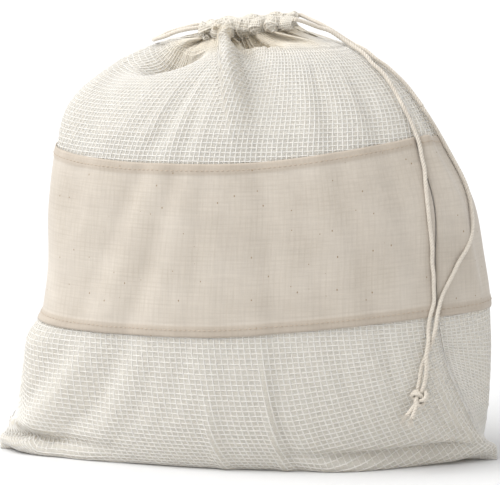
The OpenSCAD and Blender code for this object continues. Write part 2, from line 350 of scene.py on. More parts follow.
def shape_front(cloth):
    """The front panel's fin pleat, the two hollows behind its crest, and its soft folds. Depths
    are in mm, and places in u and levels, here and in the shapes below."""
    u, t = cloth.u[None, :], cloth.level[:, None]
    fin_u = np.interp(t, range(7, 14), [0.64, 0.62, 0.58, 0.53, 0.47, 0.42, 0.38])
    fin = raised(u, fin_u - 0.030, fin_u - 0.012, fin_u + 0.010, fin_u + 0.052)
    fin = fin * step(t, 7.8, 10.8) * (1 - 0.5 * step(t, 12.4, 13.2)) * 11.5
    valley = -5 * bump(u, fin_u + 0.08, 0.04) * raised(t, 8.2, 10, 11.5, 12.5)
    left = -24 * bump(u, 0.21, 0.13) * bump(t, 11.0, 1.05)
    right = -12 * bump(u, 0.61, 0.12) * bump(t, 12.55, 0.45)
    crest = 3 * bump(u, 0.24, 0.13) * bump(t, 9.9, 0.6)
    folds = 0.9 * np.sin(2 * np.pi * (3.1 * u + 0.1 * t)) * raised(t, 2.5, 5, 8, 10)
    pleats = 1.6 * bump(u, 0.50 + 0.012 * t, 0.012) + 1.3 * bump(u, 0.60 + 0.014 * t, 0.012)
    pleats = pleats * raised(t, 0.8, 2.2, 3.6, 5)
    cloth.push((fin + valley + left + right + crest + folds + pleats) * MM)


def shape_back(cloth):
    """The back panel's folds, and the ridge that its band makes beside the right seam."""
    u, t = cloth.u[None, :], cloth.level[:, None]
    folds = 1.2 * np.sin(2 * np.pi * (2.6 * u + 0.12 * t) + 2)
    folds = folds * raised(t, 2.5, 5, 9, 10.5) * step(u, 0.1, 0.25)
    dent = -9 * bump(u, 0.5, 0.16) * bump(t, 11.7, 0.7) - 8 * bump(u, 0.82, 0.14) * bump(t, 11.2, 1.1)
    ridge = 2.6 * bump(u, 0.02 + 0.026 * (8.3 - t), 0.016) * raised(t, 5.0, 6.0, 8.2, 9)
    cloth.push((folds + dent + ridge) * MM)


def shape_seams(cloth):
    """The cloth dips into a narrow groove along the side seams, with a soft rise beside it."""
    edge = from_side(cloth.u)[None, :]
    groove = -0.2 * bump(edge, 0, 0.006) + 0.35 * bump(edge, 0.024, 0.012)
    cloth.push(groove * (1 - step(cloth.level[:, None], 12, 13)) * MM)


def swell_left(cloth):
    """Under the band the cloth stands out further on the left."""
    x, z = cloth.points[..., 0], cloth.points[..., 2]
    low_part = raised(z, 2 * MM, 30 * MM, 66 * MM, 86 * MM)
    cloth.points[..., 0] -= 9.5 * MM * step(-x, 85 * MM, 122 * MM) * low_part
    cloth.refresh()


def shape_corners(cloth):
    """The crease over each bottom corner, with the rolled cloth under it. Both corners bend
    forward, the left one more."""
    edge = from_side(cloth.u)[None, :]
    reach = (1 - step(edge, 0.20, 0.40)) * step(edge, 0.01, 0.09)
    height = (13 - 3 * step(edge, 0.0, 0.25)) * MM
    z = cloth.points[..., 2]
    crease = -5.8 * bump(z, height, 2.8 * MM) * reach
    roll = 3.8 * bump(z, height - 7 * MM, 4 * MM) * reach
    cloth.push((crease + roll) * MM)
    x, z = cloth.points[..., 0], cloth.points[..., 2]
    blunt = bump(z, 7 * MM, 4 * MM) * step(np.abs(x), 130 * MM, 146 * MM)
    cloth.points[..., 0] += 2.6 * MM * np.sign(x) * blunt
    low = 1 - step(z, 12 * MM, 36 * MM)
    for sign, forward in ((-1, 18), (1, 5)):
        cloth.points[..., 1] -= forward * MM * step(sign * x, 104 * MM, 150 * MM) * low
    cloth.refresh()


def pleat_wave(cloth, u, turn=0.0):
    """Uneven pleats along the hem, about -1 to 1."""
    start = 0.4 + 2.3 * cloth.side + turn
    wander = 0.55 * np.sin(2 * np.pi * 1.7 * u + start) + 0.25 * np.sin(2 * np.pi * 4.3 * u + 1.1)
    wave = np.sin(2 * np.pi * (PLEATS * u + wander))
    wave = wave * (0.75 + 0.45 * np.sin(2 * np.pi * 2.6 * u + 2.1 * start))
    return wave + 0.35 * np.sin(2 * np.pi * (1.7 * PLEATS * u + 2 * wander))


def shape_gathers(cloth):
    """Pleats that deepen towards the hem, no two alike, and its uneven fold. In the hem they
    are shallow, because it is threaded on the cord."""
    u, t = cloth.u[None, :], cloth.level[:, None]
    depth = 0.8 * step(t, 10.2, 11.8) + 1.6 * step(t, 11.6, 12.6) + 2.1 * step(t, 12.2, 13)
    depth = depth * (1 - 0.8 * step(t, 12.9, 13.5))
    inside = step(from_side(u), 0, 0.03)
    level_way = unit(cloth.normals * np.array([1, 1, 0.15]))
    push = pleat_wave(cloth, u) * depth * inside * MM
    cloth.points += push[..., None] * level_way
    ends = 1 - step(from_side(u), 0, 0.05)
    lift = 0.9 * np.sin(2 * np.pi * 0.45 * PLEATS * u + 0.7 + cloth.side) * step(t, 12.6, 14)
    drop = 1.2 * ends * step(t, 13.2, 14)
    cloth.points[..., 2] += (lift * (1 - ends) - drop) * MM
    cloth.refresh()


# ---- the cloth's own settling ----

SIM_COLUMNS = 81
SIM_ROWS = 101
SIM_FRAMES = 24
SLACK = 1.03  # the laid-out cloth against the cloth as it is, so that it wrinkles
BROAD = 15  # neighbouring places that move together
SETTLING = 0.42  # the filling holds the cloth back by the rest
MOST_MOVE = 6 * MM


def sewn_grid(surfaces):
    """Both panels as one sewn mesh: vertex numbers of each panel's grid, and their places."""
    front = np.arange(SIM_ROWS * SIM_COLUMNS).reshape(SIM_ROWS, SIM_COLUMNS)
    back = front + front.size
    back[:, 0], back[:, -1] = front[:, -1], front[:, 0]
    back[0] = front[0, ::-1]
    used, numbers = np.unique(np.concatenate([front.ravel(), back.ravel()]), return_inverse=True)
    grids = numbers.reshape(2, SIM_ROWS, SIM_COLUMNS)
    u, v = np.linspace(0, 1, SIM_COLUMNS), np.linspace(0, 1, SIM_ROWS)
    places = np.zeros((len(used), 3))
    shares = np.zeros(len(used))
    for grid, cloth in zip(grids, surfaces):
        points, _ = cloth.grid(u, v)
        np.add.at(places, grid, points)
        np.add.at(shares, grid, 1)
    return grids, places / shares[:, None]


def rest_places(grids, places):
    """The same mesh laid flat, a little longer and wider than it is now."""
    flat = np.zeros_like(places)
    for side, grid in enumerate(grids):
        width = SLACK * along(places[grid])[:, -1]
        height = SLACK * along(np.swapaxes(places[grid], 0, 1)).mean(0)
        across = np.linspace(-0.5, 0.5, SIM_COLUMNS) * (1 if side == FRONT else -1)
        flat[grid, 0] = width[:, None] * across
        flat[grid, 2] = height[:, None]
    return flat


def settle(surfaces):
    """Lets the sewn cloth settle over its filling, and moves both surfaces with it."""
    grids, places = sewn_grid(surfaces)
    flat = rest_places(grids, places)
    quads = np.concatenate([grid_quads(grid) for grid in grids])
    mesh = bpy.data.meshes.new("settling")
    mesh.from_pydata(places.tolist(), [], quads.tolist())
    bag = placed("settling", mesh)
    bag.shape_key_add(name="now")
    rest = bag.shape_key_add(name="flat")
    rest.data.foreach_set("co", flat.ravel())
    level = np.interp(np.linspace(0, 1, SIM_ROWS), surfaces[FRONT].v, surfaces[FRONT].level)
    hold = 0.10 + 0.9 * step(level, 9.5, 12.5) + 0.5 * (1 - step(level, 0, 1.5))
    group = bag.vertex_groups.new(name="hold")
    for row in range(SIM_ROWS):
        group.add(np.unique(grids[:, row]).tolist(), float(min(1.0, hold[row])), "REPLACE")
    cloth = bag.modifiers.new("cloth", "CLOTH")
    use = cloth.settings
    use.quality = 6
    use.mass = 0.15
    use.tension_stiffness = use.shear_stiffness = 12
    use.compression_stiffness = 8
    use.bending_stiffness = 0.25
    use.use_pressure = True
    use.uniform_pressure_force = 2.5
    use.rest_shape_key = rest
    use.vertex_group_mass = "hold"
    use.pin_stiffness = 1.0
    cloth.point_cache.frame_start, cloth.point_cache.frame_end = 1, SIM_FRAMES
    for number in range(1, SIM_FRAMES + 1):
        SCENE.frame_set(number)
    result = bag.evaluated_get(bpy.context.evaluated_depsgraph_get())
    moved = np.empty(places.size)
    result.data.vertices.foreach_get("co", moved)
    bpy.data.objects.remove(bag)
    SCENE.frame_set(1)
    move_surfaces(surfaces, grids, places, moved.reshape(-1, 3) - places)


def blurred(values, window, axis, mode):
    """A running mean over a window of an odd number of places."""
    half = window // 2
    pads = [(0, 0)] * values.ndim
    pads[axis] = (half + 1, half)
    total = np.cumsum(np.pad(values, pads, mode=mode), axis=axis)
    upper = np.take(total, np.arange(window, total.shape[axis]), axis=axis)
    lower = np.take(total, np.arange(0, total.shape[axis] - window), axis=axis)
    return (upper - lower) / window


def broad_part(moves, grids):
    """What neighbouring places move together. It is taken off, so that the settling gives
    folds and wrinkles, and the filled shape stays as wide and deep as it was."""
    ring = np.concatenate([grid[:, :-1] for grid in grids], axis=1)
    soft = moves[ring]
    for _ in range(2):
        soft = blurred(blurred(soft, BROAD, 1, "wrap"), BROAD, 0, "edge")
    broad = np.zeros_like(moves)
    broad[ring] = soft
    return broad


def move_surfaces(surfaces, grids, places, moves):
    """Moves both surfaces by the settling's moves, capped, and held back under the cord."""
    moves = SETTLING * (moves - broad_part(moves, grids))
    far = np.linalg.norm(moves, axis=1)
    moves = moves * (MOST_MOVE * np.tanh(far / MOST_MOVE) / np.maximum(far, 1e-9))[:, None]
    free = np.zeros(len(places))
    for grid, cloth in zip(grids, surfaces):
        level = np.interp(np.linspace(0, 1, SIM_ROWS), cloth.v, cloth.level)
        banded = raised(level, BAND_LOW - 0.5, BAND_LOW, BAND_HIGH, BAND_HIGH + 0.5)
        free[grid] = (step(np.arange(SIM_ROWS), 0, 4) * (1 - 0.55 * banded))[:, None]
    moves = moves * free[:, None]
    cord = np.concatenate([even_path(route, 4 * MM) for route in (FRONT_TAIL, BACK_TAIL)])
    near = np.min([np.linalg.norm(places - point, axis=1) for point in cord], axis=0)
    moves = moves * (0.15 + 0.85 * step(near, 5 * MM, 22 * MM))[:, None]
    for grid, cloth in zip(grids, surfaces):
        by_row = spline(moves[grid], cloth.v * (SIM_ROWS - 1))
        by_column = spline(by_row.swapaxes(0, 1), cloth.u * (SIM_COLUMNS - 1))
        cloth.points += by_column.swapaxes(0, 1)
        cloth.points[..., 2] = np.maximum(cloth.points[..., 2], FLOOR_GAP)
        cloth.refresh()


def build_surfaces():
    surfaces = Surface(FRONT), Surface(BACK)
    shape_front(surfaces[FRONT])
    shape_back(surfaces[BACK])
    for cloth in surfaces:
        shape_corners(cloth)
        swell_left(cloth)
    settle(surfaces)
    for cloth in surfaces:
        shape_seams(cloth)
        shape_gathers(cloth)
    return surfaces


# ---- mesh builders ----

def placed(name, data):
    """A new object in the scene."""
    obj = bpy.data.objects.new(name, data)
    SCENE.collection.objects.link(obj)
    return obj


def make_mesh(name, vertices, quads, material, values=None, uvs=None):
    """An object from vertices (n, 3) and quads (m, 4), smooth and not below the floor, with
    optional UVs by vertex, and named values by vertex or for all."""
    mesh = bpy.data.meshes.new(name)
    mesh.vertices.add(len(vertices))
    above = vertices.copy()
    above[:, 2] = np.maximum(vertices[:, 2], 0)
    mesh.vertices.foreach_set("co", np.ascontiguousarray(above, np.float32).ravel())
    mesh.loops.add(quads.size)
    mesh.loops.foreach_set("vertex_index", np.ascontiguousarray(quads, np.int32).ravel())
    mesh.polygons.add(len(quads))
    mesh.polygons.foreach_set("loop_start", np.arange(0, quads.size, 4, dtype=np.int32))
    mesh.polygons.foreach_set("use_smooth", np.ones(len(quads), bool))
    mesh.update(calc_edges=True)
    if uvs is not None:
        layer = mesh.uv_layers.new(name="Cloth")
        layer.data.foreach_set("uv", np.asarray(uvs, np.float32)[quads.ravel()].ravel())
    for key, value in (values or {}).items():
        attribute = mesh.attributes.new(key, "FLOAT", "POINT")
        each = np.full(len(vertices), value, np.float32)
        attribute.data.foreach_set("value", each)
    mesh.validate()
    mesh.materials.append(material)
    return placed(name, mesh)


def tubes(paths, normals, wide, thick, sides=4):
    """Closed tubes along paths (n, m, 3), with an even number of sides: vertices and quads."""
    way = unit(np.gradient(paths, axis=1))
    side = unit(np.cross(way, normals))
    up = np.cross(side, way)
    turn = 2 * np.pi * np.arange(sides) / sides
    wide, thick = np.asarray(wide), np.asarray(thick)
    ring = (np.cos(turn)[:, None] * (up * thick[..., None])[:, :, None]
            + np.sin(turn)[:, None] * (side * wide[..., None])[:, :, None])
    vertices = (paths[:, :, None] + ring).reshape(-1, 3)
    count, rings = paths.shape[:2]
    base = (np.arange(count)[:, None, None] * rings + np.arange(rings - 1)[None, :, None]) * sides
    k = np.arange(sides)[None, None, :]
    a, b = base + k, base + (k + 1) % sides
    walls = np.stack([a, a + sides, b + sides, b], -1).reshape(-1, 4)
    first = np.arange(count) * rings * sides
    last = first + (rings - 1) * sides
    caps = []
    for k in range(1, sides - 2, 2):
        caps.append(np.stack([first, first + k, first + k + 1, first + k + 2], 1))
        caps.append(np.stack([last + k + 2, last + k + 1, last + k, last], 1))
    return vertices, np.concatenate([walls, *caps])


def joined(parts):
    """One set of vertices and quads from several."""
    vertices, quads, count = [], [], 0
    for part_vertices, part_quads in parts:
        vertices.append(part_vertices)
        quads.append(part_quads + count)
        count += len(part_vertices)
    return np.concatenate(vertices), np.concatenate(quads)


def closed_sheet(outer, inner):
    """A closed sheet between two grids of points (rows, columns, 3)."""
    rows, columns = outer.shape[:2]
    count = rows * columns
    index = np.arange(count).reshape(rows, columns)
    skin = grid_quads(index)
    rim = np.concatenate([index[0, :-1], index[:-1, -1], index[-1, :0:-1], index[:0:-1, 0]])
    after = np.roll(rim, -1)
    wall = np.stack([rim, rim + count, after + count, after], 1)
    vertices = np.concatenate([outer.reshape(-1, 3), inner.reshape(-1, 3)])
    return vertices, np.concatenate([skin, skin[:, ::-1] + count, wall])


# ---- materials ----

class Nodes:
    """A short way to write a node tree. Most of its makers return the output that is used."""

    def __init__(self, name, colour, roughness):
        self.material = bpy.data.materials.new(name)
        self.material.use_nodes = True
        self.tree = self.material.node_tree
        self.shader = self.tree.nodes["Principled BSDF"]
        self.link(colour, "Base Color")
        self.link(roughness, "Roughness")

    def add(self, kind, links=(), **settings):
        node = self.tree.nodes.new("ShaderNode" + kind)
        for key, value in settings.items():
            if hasattr(node, key):
                setattr(node, key, value)
            else:
                node.inputs[key.replace("_", " ")].default_value = value
        for socket, source in dict(links).items():
            self.tree.links.new(source, node.inputs[socket])
        return node

    def fill(self, socket, value):
        """Links an output to a socket, or sets the socket to a number or a colour."""
        if isinstance(value, (float, int)):
            socket.default_value = value
        elif isinstance(value, tuple):
            socket.default_value = (*value, 1)
        else:
            self.tree.links.new(value, socket)

    def link(self, value, socket):
        """The same for one of the shader's own sockets."""
        self.fill(self.shader.inputs[socket], value)

    def maths(self, operation, a, b=0.0):
        node = self.add("Math", {0: a}, operation=operation)
        self.fill(node.inputs[1], b)
        return node.outputs[0]

    def place(self, scale):
        coordinates = self.add("TexCoord")
        return self.add("Mapping", {"Vector": coordinates.outputs["Object"]}, Scale=scale).outputs[0]

    def noise(self, scale, detail=2.0, stretch=(1, 1, 1)):
        return self.add("TexNoise", {"Vector": self.place(stretch)}, Scale=scale,
                        Detail=detail).outputs["Fac"]

    def named(self, attribute):
        """A value that the mesh carries by vertex."""
        return self.add("Attribute", attribute_name=attribute).outputs["Fac"]

    def between(self, factor, low, high):
        """A colour ramp from low to high."""
        ramp = self.add("ValToRGB", {"Fac": factor})
        ramp.color_ramp.elements[0].color = (*low, 1)
        ramp.color_ramp.elements[1].color = (*high, 1)
        return ramp.outputs["Color"]

    def mix(self, factor, a, b, blend_type="MIX"):
        node = self.add("MixRGB", blend_type=blend_type)
        for socket, value in (("Fac", factor), ("Color1", a), ("Color2", b)):
            self.fill(node.inputs[socket], value)
        return node.outputs["Color"]

    def let_light_through(self, share):
        """Light from behind shines through the cloth, and takes on a warmer colour."""
        glow = self.add("BsdfTranslucent", Color=(0.94, 0.84, 0.66, 1))
        both = self.add("MixShader", {1: self.shader.outputs[0], 2: glow.outputs[0]}, Fac=share)
        self.tree.links.new(both.outputs[0], self.tree.nodes["Material Output"].inputs["Surface"])

    def relief(self, height, strength, distance):
        node = self.add("Bump", {"Height": height}, Strength=strength, Distance=distance)
        self.link(node.outputs["Normal"], "Normal")


def painted_gather_warmth(n, tone):
    """Painted warm shade in the gathers: light that has crossed many folds is warmer, and that warmth is
    painted into their colour.
    """
    n.link(n.mix(n.named("gathered"), tone, (0.99, 0.93, 0.82), "MULTIPLY"), "Base Color")


def cotton_mesh():
    n = Nodes("cotton_mesh", (0.70, 0.67, 0.60), 0.9)
    painted_gather_warmth(n, n.between(n.noise(160.0, 3.0), (0.755, 0.74, 0.705), (0.885, 0.88, 0.86)))
    n.link(0.25, "Sheen Weight")
    n.relief(n.noise(2600.0), 0.4, 0.0002)
    n.let_light_through(0.26)
    return n.material


def cotton_fibres():
    n = Nodes("cotton_fibres", (0.70, 0.66, 0.57), 0.95)
    painted_gather_warmth(n, n.between(n.noise(420.0, 3.0), (0.70, 0.675, 0.62), (0.82, 0.81, 0.77)))
    n.link(n.between(n.noise(1500.0, 3.0), (0.45, 0.45, 0.45), (1, 1, 1)), "Alpha")
    n.let_light_through(0.30)
    return n.material


def calico():
    n = Nodes("calico", (0.60, 0.55, 0.47), 0.92)
    tone = n.between(n.noise(35.0, 3.0), (0.45, 0.402, 0.345), (0.58, 0.532, 0.47))
    yarns = n.mix(0.5, n.noise(900.0, 2.0, (1, 1, 0.06)), n.noise(900.0, 2.0, (0.06, 0.06, 1)))
    yarn_tone = n.between(yarns, (0.74, 0.735, 0.73), (1.2, 1.195, 1.19))
    woven = n.mix(0.7, tone, yarn_tone, "MULTIPLY")
    # painted shadow of the mesh behind the band, in patches, as a faint darker grid
    split = n.add("SeparateXYZ", {"Vector": n.add("TexCoord").outputs["UV"]})
    lines = [n.maths("COSINE", n.maths("MULTIPLY", split.outputs[axis], 2 * math.pi)) for axis in "XY"]
    shadow = n.between(n.maths("MAXIMUM", n.maths("MAXIMUM", *lines), 0.5), (1, 1, 1), (0.87, 0.85, 0.81))
    patches = n.between(n.noise(48.0), (0, 0, 0), (1, 1, 1))
    mesh_shaded = n.mix(patches, woven, shadow, "MULTIPLY")
    # turned hems let less light through
    darker = n.mix(n.named("hem"), mesh_shaded, (0.88, 0.85, 0.82), "MULTIPLY")
    # seed flecks, in a few of the cells
    cells = n.add("TexVoronoi", {"Vector": n.place((1, 1, 0.6))}, Scale=300.0)
    speck = n.maths("LESS_THAN", cells.outputs["Distance"], 0.11)
    some = n.add("SeparateColor", {"Color": cells.outputs["Color"]})
    flecks = n.maths("MULTIPLY", speck, n.maths("GREATER_THAN", some.outputs[0], 0.83))
    n.link(n.mix(flecks, darker, (0.26, 0.19, 0.12)), "Base Color")
    n.link(0.2, "Sheen Weight")
    n.relief(yarns, 0.5, 0.0003)
    return n.material


def sewing_thread():
    n = Nodes("sewing_thread", (0.62, 0.52, 0.42), 0.8)
    n.link(n.between(n.noise(900.0), (0.36, 0.29, 0.22), (0.52, 0.44, 0.35)), "Base Color")
    return n.material


def cotton_cord():
    n = Nodes("cotton_cord", (0.50, 0.44, 0.36), 0.9)
    n.link(n.between(n.noise(700.0, 3.0), (0.50, 0.445, 0.375), (0.73, 0.68, 0.60)), "Base Color")
    n.link(0.3, "Sheen Weight")
    n.relief(n.noise(3000.0), 0.5, 0.0002)
    return n.material


def make_materials():
    return {"mesh": cotton_mesh(), "fibres": cotton_fibres(), "calico": calico(),
            "thread": sewing_thread(), "cord": cotton_cord()}


# ---- cloth pieces ----

def crossing_sign(rows, columns):
    return 1 - 2 * ((np.arange(rows)[:, None] + np.arange(columns)) % 2)


def threads(cloth, u, v, bulge=None, fine=1):
    """The open weave at the crossings u by v, and how far each vertex follows the hem.
    bulge(u) is how far the cloth stands off there, and level threads take fine points to a
    crossing."""
    sign = crossing_sign(len(v), len(u))
    many = np.interp(np.arange(fine * (len(u) - 1) + 1) / fine, np.arange(len(u)), u)
    points, normals = cloth.grid(u, v, WEAVE * sign + (bulge(u) if bulge else 0))
    upright = tubes(points.swapaxes(0, 1), normals.swapaxes(0, 1), THREAD_WIDE, THREAD_THICK)
    swing = -WEAVE * sign[:, :1] * np.cos(np.pi * np.arange(len(many)) / fine)
    points, normals = cloth.grid(many, v, swing + (bulge(many) if bulge else 0))
    level = tubes(points, normals, THREAD_WIDE * 0.92, THREAD_THICK)
    follow = [pull(cloth, u, v).T, pull(cloth, many, v)]
    follow = np.concatenate([np.repeat(part.ravel(), 4) for part in follow])
    return (*joined([upright, level]), follow)


def pull(cloth, u, v):
    """How far the cloth over u by v follows its hem: 0 on the body, 1 at the hem. Beside the
    side seams, the two panels stay together up to where the seams end."""
    level = np.interp(v, cloth.v, cloth.level)[:, None]
    free = step(level, RING - 1.5, HEM_FOOT)
    sewn = (1 - step(from_side(u), 0, 0.14)) * (1 - step(level, RING, HEM_FOOT))
    return free * (1 - sewn)


def follow_lip(piece):
    """Bakes the piece's placement into its mesh."""
    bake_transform(piece)


def mesh_rows(cloth):
    """Heights of the level threads on the panel's body, and in its gathers."""
    top = cloth.v_at(HEM_FOOT)
    v = np.linspace(0.003, top, round(top * cloth.length / WEFT_PITCH))
    low = v < cloth.v_at(RING - 0.6)
    return v[low], v[np.count_nonzero(low) - 1:]


def mesh_panel(name, cloth, material):
    """The open weave of the panel's body and of its gathers: two pieces, each with how far
    its vertices follow the hem."""
    pieces = []
    for part, v, fine in zip(("threads", "gathered_threads"), mesh_rows(cloth), (1, GATHER_FINE)):
        vertices, quads, follow = threads(cloth, UPRIGHT_U, v, fine=fine)
        piece = make_mesh(f"{name}_{part}", vertices, quads, material, {"gathered": follow})
        pieces.append((piece, follow))
    return pieces


def open_sheet(name, points, material, values=None):
    """A single sheet of cloth over a grid of points (rows, columns, 3)."""
    index = np.arange(points[..., 0].size).reshape(points.shape[:2])
    return make_mesh(name, points.reshape(-1, 3), grid_quads(index), material, values)


def fine_fibres(name, cloth, material):
    """The fluff of fine fibres that fills the weave, as one soft sheet in the same surface."""
    body, gathers = mesh_rows(cloth)
    u = FOLDED_U
    v = np.interp(np.arange(0, len(body) - 0.5, 0.5), np.arange(len(body)), body)
    v = np.concatenate([v[:-1], gathers])
    points, _ = cloth.grid(u, v)
    follow = pull(cloth, u, v).ravel()
    return open_sheet(name, points, material, {"gathered": follow}), follow


def band_lift(cloth, u, v):
    """The band is sewn on in a shallow curve, its top edge more: how much higher it sits at
    u and v, in v."""
    right = u if cloth.side == FRONT else 1 - u
    share = (v - cloth.v_at(BAND_LOW)) / (cloth.v_at(BAND_HIGH) - cloth.v_at(BAND_LOW))
    lift = (3 + 4 * share) * (2 * u - 1) ** 2 - 3.5 * share + 5 * step(right, 0.55, 1.0)
    return lift * MM / cloth.length


def band(name, cloth, material):
    """The calico band, with a turned hem along its top and bottom edges."""
    low, high = cloth.v_at(BAND_LOW), cloth.v_at(BAND_HIGH)
    rows, columns = 88, 220
    v = np.linspace(low, high, rows)
    u = np.linspace(0.0, 1.0, columns)
    from_edge = np.minimum(v - low, high - v) * cloth.length
    height = v[:, None] + band_lift(cloth, u, v[:, None])
    hem = 1 - step(from_edge, BAND_HEM, BAND_HEM + 0.8 * MM)
    rounded = 0.35 * MM * (1 - step(from_edge, 0, 0.6 * MM))
    off = BAND_CLEAR + CALICO_THICK + HEM_THICK * hem - rounded
    sewn = 0.25 + 0.75 * step(from_side(u), 0, 0.007)
    outer, _ = cloth.read(u, height, off[:, None] * sewn)
    inner, _ = cloth.read(u, height, BAND_CLEAR * sewn)
    # the UVs count the threads of the mesh behind
    uvs = np.meshgrid(u * FLAT_W / WARP_PITCH, v * cloth.length / WEFT_PITCH)
    uvs = np.stack(uvs, -1).reshape(-1, 2)
    hems = np.repeat(hem, columns)
    return make_mesh(name, *closed_sheet(outer, inner), material,
                     {"hem": np.concatenate([hems, hems])}, np.concatenate([uvs, uvs]))


def stitches(name, cloth, v, off, material, lift=None):
    """A row of lockstitches at height v: short raised threads with a gap between them."""
    spots = np.linspace(0.006, 0.994, 200)
    run = along(cloth.read(spots, v)[0])
    count = int(run[-1] / STITCH_PITCH)
    middle = np.interp((np.arange(count) + 0.5) * STITCH_PITCH, run, spots)
    half = 0.35 * STITCH_PITCH / run[-1]
    reach = np.linspace(-1, 1, 5)
    u = middle[:, None] + half * reach
    height = v + (lift(cloth, u, v) if lift else 0)
    rise = off + 0.22 * MM * (1 - reach**2) - 0.12 * MM
    points, normals = cloth.read(u, height, rise)
    wide = STITCH_HALF * (1 - 0.4 * reach**4)
    return make_mesh(name, *tubes(points, normals, wide, wide), material)


def seam_frames(surfaces, side, count):
    """Points down a side seam, the way into the bag, and the way across the seam."""
    front, back = surfaces
    u = 0.0 if side == "left" else 1.0
    v = np.linspace(front.v_at(1.2), front.v_at(RING), count)
    points, front_out = front.read(u, v)
    _, back_out = back.read(1 - u, v)
    inward = -unit(front_out + back_out)
    way = unit(np.gradient(points, axis=0))
    inward = unit(inward - (inward * way).sum(-1, keepdims=True) * way)
    return points, inward, np.cross(way, inward)


def side_seam(name, surfaces, side, material, thread):
    """The two allowances turned into the bag, with an overlocked edge. They are narrower
    near the bottom corner, where the bag is thin."""
    count = 260
    points, inward, across = seam_frames(surfaces, side, count)
    share = 0.3 + 0.7 * step(np.linspace(0, 1, count), 0.0, 0.14)
    inward = inward * share[:, None]
    ripple = 0.5 * MM * np.sin(np.linspace(0, 60, count))[:, None] * across
    depth = np.linspace(-0.15 * MM, ALLOWANCE, 8)
    bend = (depth / depth[-1])[None, :, None]
    grid = points[:, None] + depth[None, :, None] * inward[:, None] + ripple[:, None] * bend
    thick = ALLOWANCE_HALF * across[:, None]
    strip = make_mesh(name, *closed_sheet(grid + thick, grid - thick), material)
    steps = int(along(points)[-1] / OVERLOCK_PITCH) * OVERLOCK_POINTS
    at = np.linspace(0, count - 1, steps)
    base, into, over = (
        np.stack([np.interp(at, np.arange(count), line[:, k]) for k in range(3)], 1)
        for line in (points, inward, across))
    swing = 2 * np.pi * np.arange(steps) / OVERLOCK_POINTS
    path = (base + into * (4.9 + 1.9 * np.cos(swing))[:, None] * MM
            + over * (0.85 * np.sin(swing))[:, None] * MM)
    stitch = tubes(path[None], unit(into)[None], 0.2 * MM, 0.2 * MM)
    overlock = make_mesh(name.replace("seam", "overlock"), *stitch, thread)
    return strip, overlock


def bottom_seam(name, surfaces, material):
    """The bottom seam's allowance, turned up inside the bag, lower towards the corners."""
    front, _ = surfaces
    u = np.linspace(0.06, 0.94, 200)
    base, _ = front.read(u, 0.0)
    share = 0.25 + 0.75 * step(from_side(u), 0.06, 0.2)
    rise = np.linspace(0.1, 5.5, 6) * MM
    grid = base[None] + (rise[:, None] * share)[..., None] * np.array([0, 0, 1.0])
    thick = np.array([0, 0.5 * MM, 0])
    return make_mesh(name, *closed_sheet(grid - thick, grid + thick), material)


def hem_channel(name, cloth, material, fibres):
    """The gathered hem: the mesh goes up to a fold, round the cord, and back down inside.
    Returns its threads and its fine fibres."""
    rise = np.linspace(0, 1, 8)
    low = cloth.v_at(HEM_FOOT)
    v = low + (1 - low) * np.concatenate([rise, rise[::-1]])

    def walls(u):
        """How far the outer and the inner wall stand off the hem's middle."""
        swell = np.sin(np.pi * rise ** 0.85)[:, None]
        full = step(from_side(u), 0, 0.07)
        both = []
        for sign, deep, turn in ((1, 1.5, 0.0), (-1, 1.3, 1.9)):
            off = 0.5 + swell * (1.4 + full * (1.2 + deep * pleat_wave(cloth, u, turn)))
            both.append(sign * np.maximum(off, 1.7 * swell))
        return np.concatenate(both) * MM

    vertices, quads, _ = threads(cloth, UPRIGHT_U, v, walls, GATHER_FINE)
    tint = {"gathered": HEM_WARMTH}
    weave = make_mesh(name, vertices, quads, material, tint)
    points, _ = cloth.grid(FOLDED_U, v, walls(FOLDED_U))
    return weave, open_sheet(name + "_fibres", points, fibres, tint)


# ---- the drawstring ----

def rested(path, surfaces, off):
    """The path, moved on to the cloth wherever it runs close to it."""
    spots = np.concatenate([c.points[::2, ::2].reshape(-1, 3) for c in surfaces])
    ways = np.concatenate([c.normals[::2, ::2].reshape(-1, 3) for c in surfaces])
    shift = np.zeros_like(path)
    for i, point in enumerate(path):
        near = int(np.argmin(((spots - point) ** 2).sum(1)))
        height = float((point - spots[near]) @ ways[near])
        if height < off + 2.5 * MM:
            shift[i] = (off - height) * ways[near]
    for _ in range(2):
        shift = blurred(shift, 35, 0, "edge")
    return path + shift


def laid(path, thick):
    """Three strands laid round each other along a path, as vertices and quads."""
    way = unit(np.gradient(path, axis=0))
    up = np.array([unit(np.cross(way[0], [0.13, 0.98, 0.1]))] * len(path))
    for i in range(1, len(path)):
        up[i] = unit(up[i - 1] - (up[i - 1] @ way[i]) * way[i])
    side = np.cross(way, up)
    run = along(path)
    strands = []
    for k in range(STRANDS):
        turn = 2 * np.pi * (run / (LAY * thick) + k / STRANDS)[:, None]
        strands.append(path + STRAND_OUT * thick * (np.cos(turn) * up + np.sin(turn) * side))
    strands = np.array(strands)
    half = STRAND_HALF * thick
    return tubes(strands, np.broadcast_to(up, strands.shape), half, half, 6)


def twisted_cord(name, points, material, surfaces=None):
    """A laid cord along a smooth path through points. Returns the piece and its path."""
    path = even_path(points, CORD_STEP)
    if surfaces is not None:
        path = rested(path, surfaces, CORD_D / 2 + CORD_REST)
    return make_mesh(name, *laid(path, CORD_D), material), path


